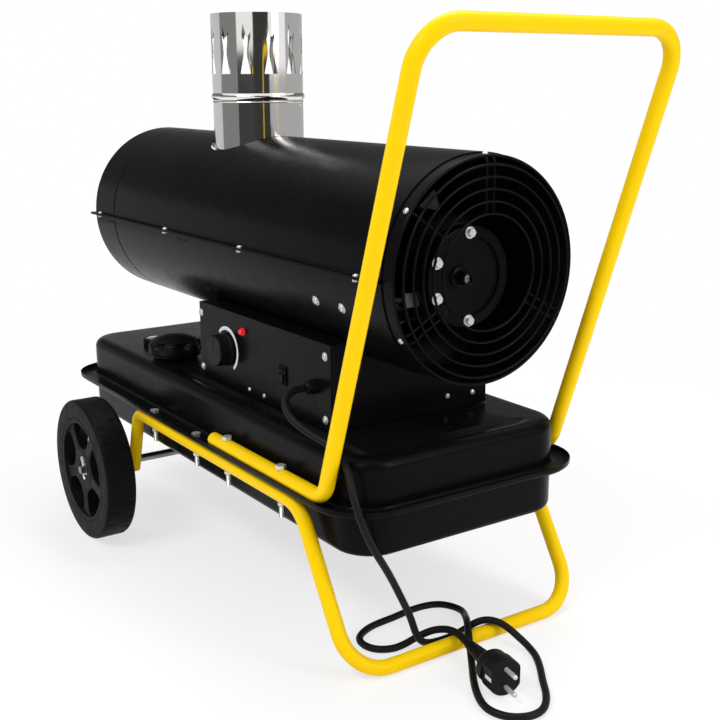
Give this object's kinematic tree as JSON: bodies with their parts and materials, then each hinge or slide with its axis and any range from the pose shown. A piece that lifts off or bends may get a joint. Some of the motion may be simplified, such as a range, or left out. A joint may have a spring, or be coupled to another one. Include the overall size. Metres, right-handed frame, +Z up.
{
  "type": "indirect fired heater",
  "caption": "Mobile oil-fired space heater: horizontal drum with flue on a fuel tank trolley with two wheels, U handle, front leg, cap, thermostat and mains cord.",
  "frame": {"origin": "centre of the whole heater's bounding box without its cord and plug, on the floor under it", "axes": "+X along the drum from the hot air outlet to the fan end, where the handle is; +Z up; +Y across the trolley, away from the control panel"},
  "size_m": [0.865, 0.452, 0.6535],
  "materials": {
    "black_paint": "satin",
    "yellow_paint": "gloss",
    "zinc_steel": "satin",
    "stainless_steel": "polished",
    "black_plastic": "satin",
    "black_rubber": "matte",
    "red_lens": "gloss",
    "pump_grey": "cast",
    "brass": "satin",
    "board_green": "satin"
  },
  "bodies": {
    "chassis": {"tank_upper": "black_paint", "tank_lower": "black_paint", "filler_neck": "black_paint", "filler_strainer": "black_plastic", "drain_plug": "zinc_steel", "fuel_gauge": "black_plastic", "lower_frame": "yellow_paint", "handle_frame": "yellow_paint", "frame_bolt_1": "zinc_steel", "frame_bolt_2": "zinc_steel", "frame_bolt_3": "zinc_steel", "frame_bolt_4": "zinc_steel", "frame_bolt_5": "zinc_steel", "frame_bolt_6": "zinc_steel", "frame_bolt_7": "zinc_steel", "frame_bolt_8": "zinc_steel", "axle": "zinc_steel", "split_pin_left": "zinc_steel", "split_pin_right": "zinc_steel", "drum_upper": "black_paint", "drum_lower": "black_paint", "outlet_ring": "black_paint", "fan_shroud": "black_paint", "fan_guard": "black_paint", "flue_pipe": "stainless_steel", "flue_collar": "stainless_steel", "combustion_chamber": "stainless_steel", "heat_exchanger": "stainless_steel", "burner_head": "zinc_steel", "motor": "black_paint", "motor_bracket": "zinc_steel", "pump_body": "pump_grey", "pump_cover": "black_paint", "air_hose": "black_rubber", "base_box": "black_paint", "control_panel": "black_paint", "service_cover": "black_paint", "thermostat": "black_plastic", "indicator_lamp": "red_lens", "switch_body": "black_plastic", "control_board": "board_green", "ignition_transformer": "black_plastic", "cable_gland": "black_plastic", "power_cord": "black_rubber", "mains_plug": "black_rubber"},
    "left_wheel": {"wheel_left": "black_plastic", "tyre_left": "black_rubber"},
    "right_wheel": {"wheel_right": "black_plastic", "tyre_right": "black_rubber"},
    "fan_rotor": {"fan": "zinc_steel", "motor_shaft": "zinc_steel"},
    "knob": {"thermostat_knob": "black_plastic"},
    "switch_rocker": {"rocker": "black_plastic"},
    "seal": {"cap_seal": "black_rubber"},
    "cap": {"filler_cap": "black_plastic"},
    "float": {"float_arm": "black_plastic"},
    "needle": {"gauge_needle": "zinc_steel"},
    "adjuster": {"pressure_screw": "brass"}
  },
  "joints": [
    {"name": "left_wheel_spin", "type": "hinge", "parent": "chassis", "child": "left_wheel", "pos_m": [-0.214, -0.2055, 0.091], "axis": [0, 1, 0], "continuous": true},
    {"name": "right_wheel_spin", "type": "hinge", "parent": "chassis", "child": "right_wheel", "pos_m": [-0.214, 0.2055, 0.091], "axis": [0, 1, 0], "continuous": true},
    {"name": "fan_spin", "type": "hinge", "parent": "chassis", "child": "fan_rotor", "pos_m": [0.112, 0, 0.399], "axis": [1, 0, 0], "continuous": true},
    {"name": "thermostat_turn", "type": "hinge", "parent": "chassis", "child": "knob", "pos_m": [-0.027, -0.1038, 0.2715], "axis": [0, -1, 0], "range_deg": [0, 280]},
    {"name": "rocker_tilt", "type": "hinge", "parent": "chassis", "child": "switch_rocker", "pos_m": [0.102, -0.104, 0.267], "axis": [1, 0, 0], "range_deg": [-10, 10]},
    {"name": "cap_lift", "type": "slide", "parent": "chassis", "child": "seal", "axis": [0, 0, 1], "range_m": [0, 0.025]},
    {"name": "cap_turn", "type": "hinge", "parent": "seal", "child": "cap", "pos_m": [-0.198, -0.0915, 0.2391], "axis": [0, 0, 1], "range_deg": [0, 360]},
    {"name": "float_swing", "type": "hinge", "parent": "chassis", "child": "float", "pos_m": [-0.287, -0.0805, 0.196], "axis": [0, 1, 0], "range_deg": [-55, 15]},
    {"name": "needle_turn", "type": "hinge", "parent": "chassis", "child": "needle", "pos_m": [-0.287, -0.0805, 0.22875], "axis": [0, 0, 1], "range_deg": [-82.5, 22.5]},
    {"name": "pressure_turn", "type": "hinge", "parent": "chassis", "child": "adjuster", "pos_m": [0.303, -0.014, 0.3925], "axis": [1, 0, 0], "range_deg": [-180, 180]}
  ],
  "couplings": [
    {"joint": "needle_turn", "follows": "float_swing", "ratio": 1.5}
  ]
}
